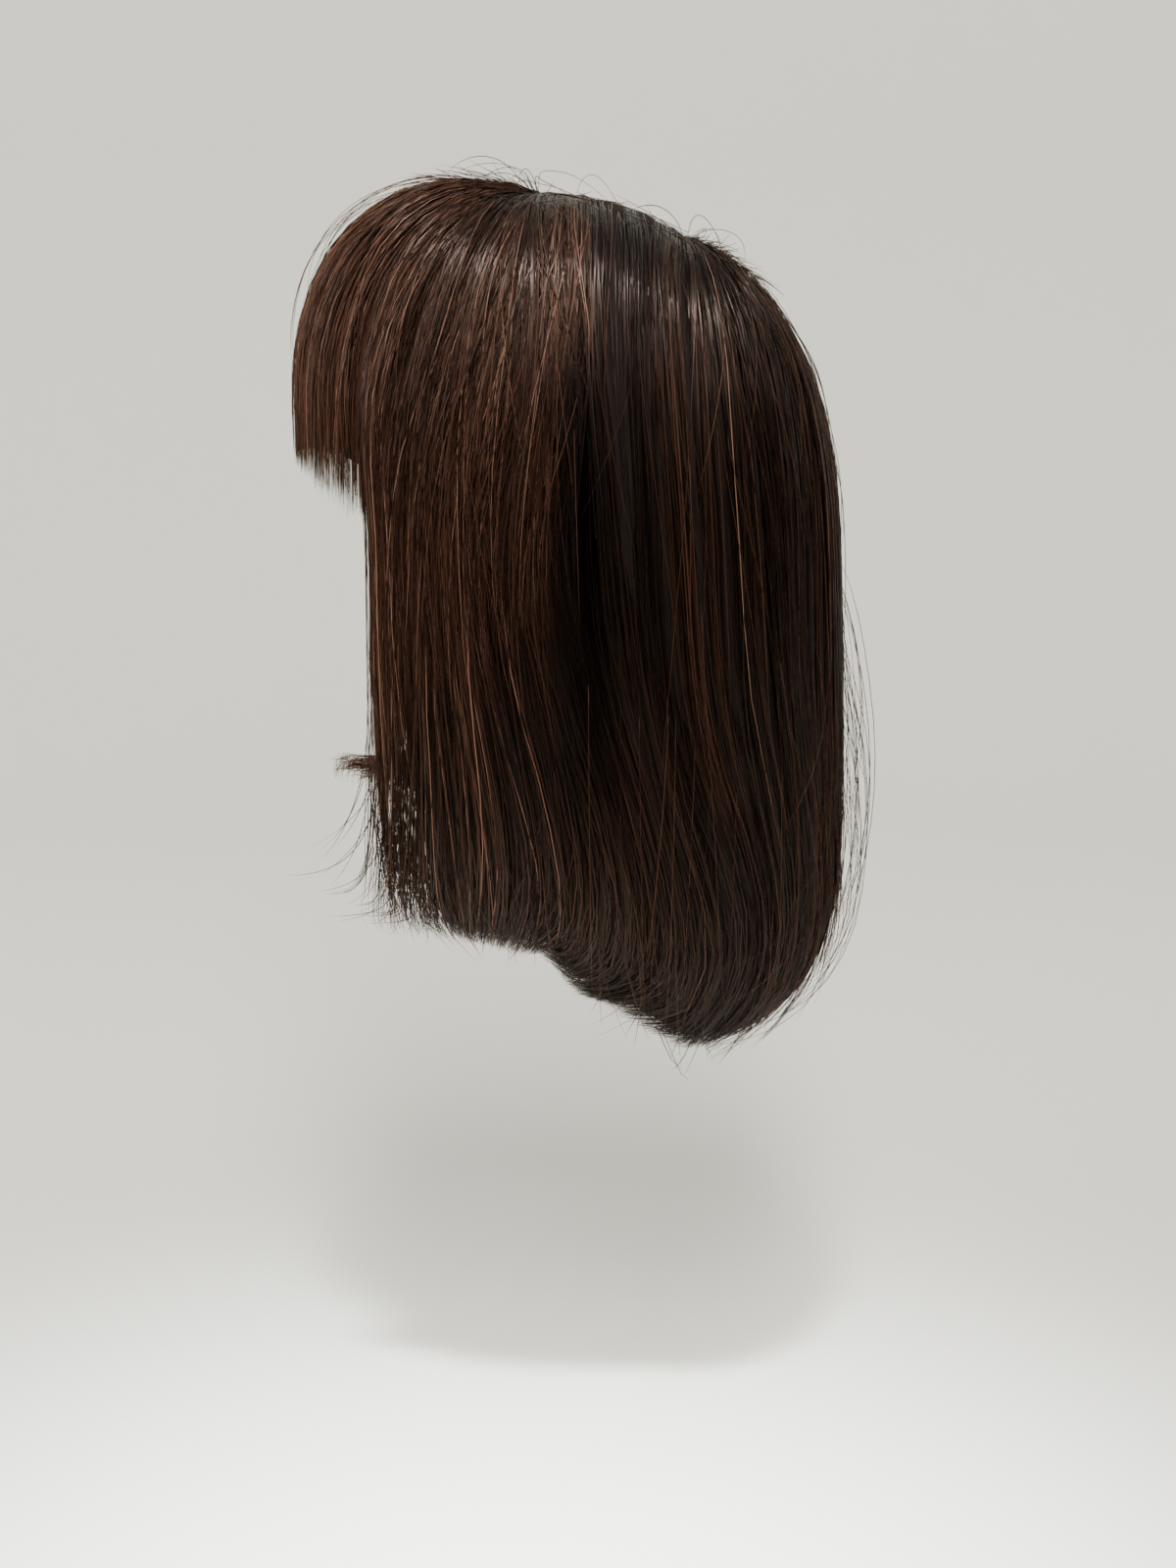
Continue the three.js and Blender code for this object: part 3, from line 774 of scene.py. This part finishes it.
def curtain_glow(place):
    """Painted light: the thin hair beside the face is made lighter, for the light that comes through it."""
    return CURTAIN_GLOW * smooth(CURTAIN_GLOW_EDGE - (place - TEMPLE_AT) / THIN_OVER)


def shorter_by(rows):
    return lambda place: rows + 0 * place


def flick_bed_short(place):
    return lerp(FLICK_BED_SHORT, LONG_BED_SHORT, smooth((place - TEMPLE_AT) / THIN_OVER))


def no_fineness(place):
    return 1 + 0 * place


def curtain_fineness(place):
    return lerp(CURTAIN_FINENESS, 1, smooth((place - TEMPLE_AT) / THIN_OVER))


def no_sweep(around, row):
    return around


def swing(around, row):
    """Lower hair bows back and then sweeps towards the face, most of all beside the cleft."""
    place = from_front(around)
    hand = np.where((around < 0) | (around > HALF_ROUND), -1, 1)
    before = np.clip((place - TEMPLE_AT) / (CLEFT_AT - TEMPLE_AT), 0, 1) ** 1.5
    behind = np.clip((HALF_ROUND - place) / (HALF_ROUND - CLEFT_AT), 0, 1)
    share = np.where(place < CLEFT_AT, before, behind)
    return around + hand * share * along_curve(SWING, np.clip(row - SWING_FROM, 0, len(SWING) - 1))


def hang_straight(point, around, row):
    """Beside the face the last strands hang straight down, without the inward curl."""
    near = 1 - smooth((from_front(around) - TEMPLE_AT) / STRAIGHT_WIDTH)
    fall = smooth((row - STRAIGHT_FROM) / (LAST_ROW - STRAIGHT_FROM))
    return point + (near * fall)[..., None] * np.array((STRAIGHT_OUT, -STRAIGHT_FORWARD, 0))


def section_for(kind, nodes, from_edge, to_edge, **changes):
    """How strands lie on one section: each kind of layer has its own habits."""
    habits = {
        "fringe": {
            "start": starts_at_parting, "first": 0, "end": fringe_ends, "last": DOME_ROWS + 0.7,
            "depth": fringe_depth, "loose_from": 1.5, "lock": 9.5, "ragged": 0.35, "deep": 2.2,
            "valley": 0.7, "sway": 0.7, "cross": 2.6, "spread": 1.2,
            "bed_short": shorter_by(FRINGE_BED_SHORT),
            "uneven": 0.06, "gather": 0.15, "clump": 0.35,
        },
        "top": {
            "start": starts_at_parting, "first": 0, "end": top_ends, "last": LAST_ROW,
            "depth": top_depth, "loose_from": 2, "lock": 12, "ragged": 0.95, "deep": 1.8,
            "valley": 0.9, "sway": 1.0, "cross": 2.6, "spread": 1.1,
            "bed_short": shorter_by(TOP_BED_SHORT),
        },
        "long": {
            "start": starts_under_top, "first": 9, "end": long_ends, "last": LAST_ROW + 0.5,
            "depth": long_depth, "loose_from": 7, "lock": 12, "ragged": 0.4, "deep": 1.5,
            "valley": 0.8, "sway": 1.2, "cross": 3.0, "spread": 1.3,
            "bed_short": shorter_by(LONG_BED_SHORT),
            "uneven": 0.1, "gather": 0.5, "clump": 0.3, "inner": 0.16, "bunch": 0.72,
        },
    }[kind]
    shared = {
        "nodes": nodes, "slot": kind + "_hair", "from": from_edge, "to": to_edge, "spill": 2,
        "dive": 2.5, "lean": 0, "own_sway": 0.6, "uneven": 0.14, "gather": 0.8, "clump": 1,
        "inner": 0, "bunch": 1, "tone": 0.42,
        "stray": 0.06, "stray_drift": 9, "stray_rise": 1.5, "stray_tone": 0.04,
        "nudge": no_nudge, "sweep": no_sweep, "thin_out": no_thinning, "glow": no_glow, "fine": no_fineness,
    }
    return {**shared, **habits, **changes}


# The camera, at the photograph's angle: the picture is 1600 points high
CAMERA_DISTANCE = 880
CAMERA_PITCH = 15
CAMERA_TARGET = (0, 23, -222)
PICTURE_HEIGHT = 1600
FOCAL_POINTS = 2200
SENSOR = 36


def add_camera():
    data = bpy.data.cameras.new("camera")
    data.sensor_fit = "VERTICAL"
    data.sensor_height = SENSOR
    data.lens = SENSOR * FOCAL_POINTS / PICTURE_HEIGHT
    data.clip_start = 0.05
    data.clip_end = 50
    camera = bpy.data.objects.new("camera", data)
    bpy.context.scene.collection.objects.link(camera)
    pitch = math.radians(CAMERA_PITCH)
    away = Vector((math.cos(pitch), 0, math.sin(pitch)))
    camera.location = (Vector(CAMERA_TARGET) + away * CAMERA_DISTANCE) * MM
    camera.rotation_euler = (-away).to_track_quat("-Z", "Y").to_euler()
    bpy.context.scene.camera = camera


# A round floor that curves up into a wall, with its middle in front of the hair
FLOOR_HEIGHT = -450
STAGE_CENTRE_X = 1500
STAGE_RADIUS = 2750
COVE = 500
STAGE_TOP = 3500
STAGE_SIDES = 96
COVE_STEPS = 24
STAGE_COLOUR = (0.68, 0.69, 0.645, 1)


def add_stage():
    arc = [(STAGE_RADIUS - COVE + COVE * math.sin(a), FLOOR_HEIGHT + COVE * (1 - math.cos(a)))
           for a in np.linspace(0, math.pi / 2, COVE_STEPS)]
    profile = np.array([(1, FLOOR_HEIGHT), *arc, (STAGE_RADIUS, STAGE_TOP)])
    turns = np.arange(STAGE_SIDES) * 2 * math.pi / STAGE_SIDES
    out, height = profile[:, 0], profile[:, 1] + 0 * turns[:, None]
    forward, sideways = np.cos(turns)[:, None] * out, np.sin(turns)[:, None] * out
    points = np.stack((STAGE_CENTRE_X + forward, sideways, height), -1)
    at = np.arange(STAGE_SIDES * len(profile)).reshape(STAGE_SIDES, len(profile))
    after = np.roll(at, -1, axis=0)
    faces = np.stack((at[:, :-1], after[:, :-1], after[:, 1:], at[:, 1:]), -1).reshape(-1, 4)
    material, _, _, shader = new_material("backdrop")
    shader.inputs["Base Color"].default_value = STAGE_COLOUR
    shader.inputs["Roughness"].default_value = 0.8
    shader.inputs["Specular IOR Level"].default_value = 0.2
    stage = new_object("backdrop", points.reshape(-1, 3), faces, material)


# Area lights: place, target and size in metres, power in watts, and colour
AREA_LIGHTS = {
    "key": ((0.95, 0.1, 1.5), (0, 0.02, -0.1), (0.4, 1.8), 52, (1, 0.94, 0.88)),
    "ceiling": ((1.0, 0, 2.2), (0.3, 0, -0.4), (1.2, 1.2), 16.5, (1, 0.99, 0.96)),
    "front": ((0.4, -1.2, 0.5), (0.25, 0, -0.45), (0.9, 0.9), 19, (1, 0.98, 0.95)),
    "rear": ((0.4, 1.2, 0.45), (0.25, 0, -0.45), (0.9, 0.9), 10, (1, 0.95, 0.9)),
    "wall_wash": ((-0.35, 0, 1.9), (-0.9, 0, 0.1), (2.0, 0.4), 4, (1, 1, 0.95)),
}
# A soft pool of light on the floor before the hair
SPOT_PLACE = (0.42, 0, 1.9)
SPOT_TARGET = (0.3, 0, -0.45)
SPOT_POWER = 1400
SPOT_ANGLE = 16
SPOT_RADIUS = 0.15
ROOM_COLOUR = (0.97, 0.98, 1, 1)
ROOM_LIGHT = 0.16


def add_area_light(name, place, target, size, power, colour):
    data = bpy.data.lights.new(name, "AREA")
    data.shape = "RECTANGLE"
    data.size, data.size_y = size
    data.energy = power
    data.color = colour
    light = bpy.data.objects.new(name, data)
    light.location = place
    light.rotation_euler = (Vector(target) - Vector(place)).to_track_quat("-Z", "Y").to_euler()
    bpy.context.scene.collection.objects.link(light)


def add_lights():
    for name, settings in AREA_LIGHTS.items():
        add_area_light(name, *settings)
    spot = bpy.data.lights.new("foreground", "SPOT")
    spot.energy = SPOT_POWER
    spot.spot_size = math.radians(SPOT_ANGLE)
    spot.spot_blend = 1
    spot.shadow_soft_size = SPOT_RADIUS
    lamp = bpy.data.objects.new("foreground", spot)
    lamp.location = SPOT_PLACE
    lamp.rotation_euler = (Vector(SPOT_TARGET) - lamp.location).to_track_quat("-Z", "Y").to_euler()
    bpy.context.scene.collection.objects.link(lamp)
    world = bpy.data.worlds.new("room")
    world.use_nodes = True
    background = world.node_tree.nodes["Background"]
    background.inputs["Color"].default_value = ROOM_COLOUR
    background.inputs["Strength"].default_value = ROOM_LIGHT
    bpy.context.scene.world = world


# The hair
BED_SINK = 1.8
BED_THICK_AT_END = 3.2
BED_THINNEST = 0.4
STREAK_WIDTH = 0.8
STREAKS_ALONG = 0.5
STREAKS_INWARD = 0.2
RIBBON_TURN = 0.7
RIBBON_TWIST = 0.5


def add_bed(name, section, material, columns, rows, first):
    """The mass under the loose strands of one section."""
    share = np.linspace(0, 1, columns)[:, None]
    around_ends = lerp(section["from"](DOME_ROWS), section["to"](DOME_ROWS), share)
    ends = section["end"](around_ends) - section["bed_short"](from_front(around_ends))
    row = lerp(first, ends, np.linspace(0, 1, rows)[None, :])
    near = section.get("bed_from", section["from"])(row)
    around = section["sweep"](lerp(near, section["to"](row), share), row)
    point, normal = outer_face(around, row)
    low, high = section["depth"](around, row, point)
    width = float(section["to"](DOME_ROWS) - section["from"](DOME_ROWS))
    ripple = 0.5 - 0.5 * np.cos(2 * math.pi * share * round(width / section["lock"]))
    thinning = smooth((row - ends + 2) / 2)
    high = lerp(high, np.minimum(low + BED_THICK_AT_END, high), thinning)
    outer_depth = low + (BED_SINK + thinning) * smooth(row / 2) + section["valley"] * ripple
    outer_depth = np.minimum(outer_depth, high - BED_THINNEST)
    outer = section["nudge"](point - normal * outer_depth[..., None], around, row)
    inner = section["nudge"](point - normal * high[..., None], around, row)
    places = np.stack((around / STREAK_WIDTH, row * STREAKS_ALONG, outer_depth * STREAKS_INWARD), axis=-1)
    piece = bed_object(name, outer, inner, places, material)
    claim(piece, section)


def add_strands(name, section, material, seed, count, steps, width):
    """The loose strands of one section, each a narrow ribbon that turns a little about its own length."""
    rng = np.random.default_rng(seed)
    points, normals, tones, fineness = lay_strands(rng, count, steps, section)
    widths = half_widths(rng, count, steps, width) * fineness
    along = np.linspace(0, 1, steps)
    turn = rng.normal(0, RIBBON_TURN, count)[:, None] + rng.normal(0, RIBBON_TWIST, count)[:, None] * along
    piece = ribbon_object(name, points, across_path(points, normals, turn), widths, tones, material)
    claim(piece, section)


add_camera()
add_stage()
add_lights()

net = net_material()
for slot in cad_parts["cap"].material_slots:
    slot.material = net

# Painted light and shade: the fringe's colours are made several times lighter than those of the top and long
# hair, which is the same hair, for the light falling on the face side
fringe_look = strand_material("fringe_strands", [
    (0, (0.0026, 0.001, 0.0006)), (0.4, (0.03, 0.012, 0.0069)), (0.75, (0.084, 0.036, 0.0232)),
    (1, (0.19, 0.096, 0.064))], 0.38, 1)
top_look = strand_material("top_strands", [
    (0, (0.0009, 0.0004, 0.0003)), (0.4, (0.008, 0.0031, 0.0018)), (0.75, (0.031, 0.0131, 0.0083)),
    (1, (0.12, 0.063, 0.044))], 0.38, 1)
long_look = strand_material("long_strands", [
    (0, (0.0008, 0.0004, 0.0003)), (0.4, (0.0073, 0.0029, 0.0017)), (0.75, (0.026, 0.0112, 0.0071)),
    (1, (0.14, 0.067, 0.044))], 0.4, 0.8)
bed_look = bed_material("hair_mass", (0.002, 0.0009, 0.0006), (0.009, 0.004, 0.0026))


def thin_bed_edge(row):
    """The mass beside the face ends well back from the loose strands that hang there."""
    return curtain_edge(row) + 2 + 15 * smooth((row - 9.5) / 2.5)


def top_bed_edge(row):
    return curtain_edge(row) + 1.5 + 7 * smooth((row - 8) / 2)


fringe = section_for("fringe", ["fringe"], other_side(fringe_edge), fringe_edge)
top_left = section_for(
    "top", ["top_hair_left"], curtain_edge, front_of_cleft,
    cross=8, own_sway=1.7, lean=13, stray=0.17, stray_drift=13, stray_tone=0.18,
    thin_out=ragged_front, bed_from=top_bed_edge, sweep=swing)
top_right = section_for(
    "top", ["top_hair_right"], other_side(front_of_cleft), other_side(curtain_edge),
    cross=4, thin_out=ragged_front, sweep=swing)
# Painted shade: the back hair gets a darker tone, as the back of the hair gets less light
top_back = section_for(
    "top", ["top_hair_back_left", "top_hair_back_right"], rear_of_cleft, rear_of_far_cleft,
    cross=4, sweep=swing, tone=0.27)
long_left = section_for(
    "long", ["long_hair_left"], curtain_edge, front_of_seam,
    cross=5, sway=2, own_sway=1.2, thin_out=thin_front, bed_from=thin_bed_edge, sweep=swing,
    nudge=hang_straight, glow=curtain_glow, fine=curtain_fineness)
long_right = section_for(
    "long", ["long_hair_right"], other_side(front_of_seam), other_side(curtain_edge),
    sweep=swing, nudge=flip_forward, glow=flick_glow, bed_short=flick_bed_short)
# Painted shade: the long back hair gets a darker tone, as the back of the hair gets less light
long_back = section_for(
    "long", ["long_hair_back_left", "long_hair_back_right"], rear_of_seam, rear_of_far_seam,
    cross=5, sweep=swing, tone=0.29)

# The last three values are the columns and rows of faces, and the first row of hair
add_bed("fringe_mass", fringe, bed_look, 80, 20, 0)
add_bed("top_mass_left", top_left, bed_look, 60, 24, 0)
add_bed("top_mass_right", top_right, bed_look, 60, 24, 0)
add_bed("top_mass_back", top_back, bed_look, 160, 24, 0)
add_bed("long_mass_left", long_left, bed_look, 60, 20, LONG_HAIR_START)
add_bed("long_mass_right", long_right, bed_look, 60, 20, LONG_HAIR_START)
add_bed("long_mass_back", long_back, bed_look, 160, 20, LONG_HAIR_START)

# The last four values are the seed, the count, the points along a strand and its width
add_strands("fringe_strands", fringe, fringe_look, 11, 5800, 12, 0.36)
add_strands("top_strands_left", top_left, top_look, 12, 6600, 13, 0.35)
add_strands("top_strands_right", top_right, top_look, 13, 3400, 13, 0.45)
add_strands("top_strands_back", top_back, top_look, 14, 7800, 13, 0.42)
add_strands("long_strands_left", long_left, long_look, 15, 3800, 12, 0.38)
add_strands("long_strands_right", long_right, long_look, 16, 2600, 12, 0.45)
add_strands("long_strands_back", long_back, long_look, 17, 7600, 12, 0.42)

# Loose hairs stand off the hair in arcs. Loops come back to it, and the others end in the air.
LOOSE_STEPS = 14
LOOSE_WIDTH = 0.34
LOOSE_ROOM = 14
ROUND = 2 * HALF_ROUND
FRINGE_END = TEMPLE_AT + 10
LOOSE_HAIRS = [
    {"piece": "loose_hairs_top", "count": 190, "around": (0, ROUND), "row": (0.1, 2), "rows": (0.5, 2.2),
     "lift": (1, 7), "loop": False, "drift": 18, "push": (0, 0, 2)},
    {"piece": "loose_hairs_top", "count": 150, "around": (FRINGE_END, ROUND - FRINGE_END), "row": (0.5, 7),
     "rows": (2, 5), "lift": (0.8, 3.5), "loop": True, "drift": 15, "push": (0, 0, 0)},
    {"piece": "loose_hairs_top", "count": 16, "around": (0, ROUND), "row": (0.1, 0.6), "rows": (1, 2.2),
     "lift": (4, 11), "loop": True, "drift": 60, "push": (0, 0, 0)},
    {"piece": "loose_hairs_fringe", "count": 34, "around": (-70, 70), "row": (1.5, 4), "rows": (3.5, 5.3),
     "lift": (1, 8), "loop": True, "drift": 10, "push": (0, 0, 0)},
    {"piece": "loose_hairs_long", "count": 150, "around": (CLEFT_AT, ROUND - CLEFT_AT), "row": (10.5, 14.5),
     "rows": (2, 4), "lift": (1, 11), "loop": False, "drift": 10, "push": (0, 2, 0)},
    {"piece": "loose_hairs_long", "count": 40, "around": (CLEFT_AT, ROUND - CLEFT_AT), "row": (8.5, 11),
     "rows": (3, 6), "lift": (2, 12), "loop": True, "drift": 9, "push": (0, 0, 0)},
    {"piece": "loose_hairs_long", "count": 80, "around": (HALF_ROUND - 60, HALF_ROUND + 60),
     "row": (8, 13.5), "rows": (1.2, 4.5), "lift": (-2, 12), "loop": False, "drift": 32, "push": (0, 2, 6)},
    {"piece": "loose_hairs_long", "count": 24, "around": (HALF_ROUND - 50, HALF_ROUND + 50),
     "row": (8, 12), "rows": (3, 6), "lift": (5, 14), "loop": True, "drift": 16, "push": (0, 0, 0)},
    {"piece": "loose_hairs_long", "count": 70, "around": (TEMPLE_AT, CLEFT_AT), "row": (11.5, 14.2),
     "rows": (2, 2.8), "lift": (-2, 5), "loop": False, "drift": 8, "push": (0, 0, 0)},
    {"piece": "loose_hairs_long", "count": 100, "around": (TEMPLE_AT + 2, TEMPLE_AT + 24), "row": (11, 13.4),
     "rows": (2.4, 3.8), "lift": (-3, 4), "loop": False, "drift": 9, "push": (0, -36, 10)},
    {"piece": "loose_hairs_long", "count": 60, "around": (-CLEFT_AT, -TEMPLE_AT), "row": (11.5, 14.2),
     "rows": (2, 2.8), "lift": (-2, 5), "loop": False, "drift": 8, "push": (0, -5, 0)},
]


def lay_loose_hairs(rng, habit):
    count = habit["count"]
    t = np.linspace(0, 1, LOOSE_STEPS)
    start = rng.uniform(*habit["row"], count)[:, None]
    row = start + rng.uniform(*habit["rows"], count)[:, None] * t
    drift = rng.normal(0, habit["drift"], count)[:, None]
    around = rng.uniform(*habit["around"], count)[:, None] + drift * t ** 1.3
    point, normal = outer_face(around, np.clip(row, 0, LAST_ROW + 0.9))
    shape = np.sin(math.pi * t) ** 0.8 if habit["loop"] else t ** 1.7
    lift = rng.uniform(*habit["lift"], count)[:, None] * shape
    push = rng.random(count)[:, None] ** 2 * t ** 2.2
    point = point + normal * lift[..., None] + push[..., None] * np.array(habit["push"])
    low, high = (np.array(corner) / MM for corner in cad_box)
    return np.clip(point, low - LOOSE_ROOM, high + LOOSE_ROOM), normal


def add_loose_hairs(seed, looks):
    rng = np.random.default_rng(seed)
    for name, (slot, material) in looks.items():
        laid = [lay_loose_hairs(rng, habit) for habit in LOOSE_HAIRS if habit["piece"] == name]
        points = np.concatenate([point for point, normal in laid])
        normals = np.concatenate([normal for point, normal in laid])
        count = len(points)
        radii = half_widths(rng, count, LOOSE_STEPS, LOOSE_WIDTH)
        piece = tube_object(name, points, normals, radii, rng.uniform(0.35, 0.8, count), material)
        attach(piece, "root")


add_loose_hairs(21, {
    "loose_hairs_top": ("top_hair", top_look),
    "loose_hairs_fringe": ("fringe_hair", fringe_look),
    "loose_hairs_long": ("long_hair", long_look),
})
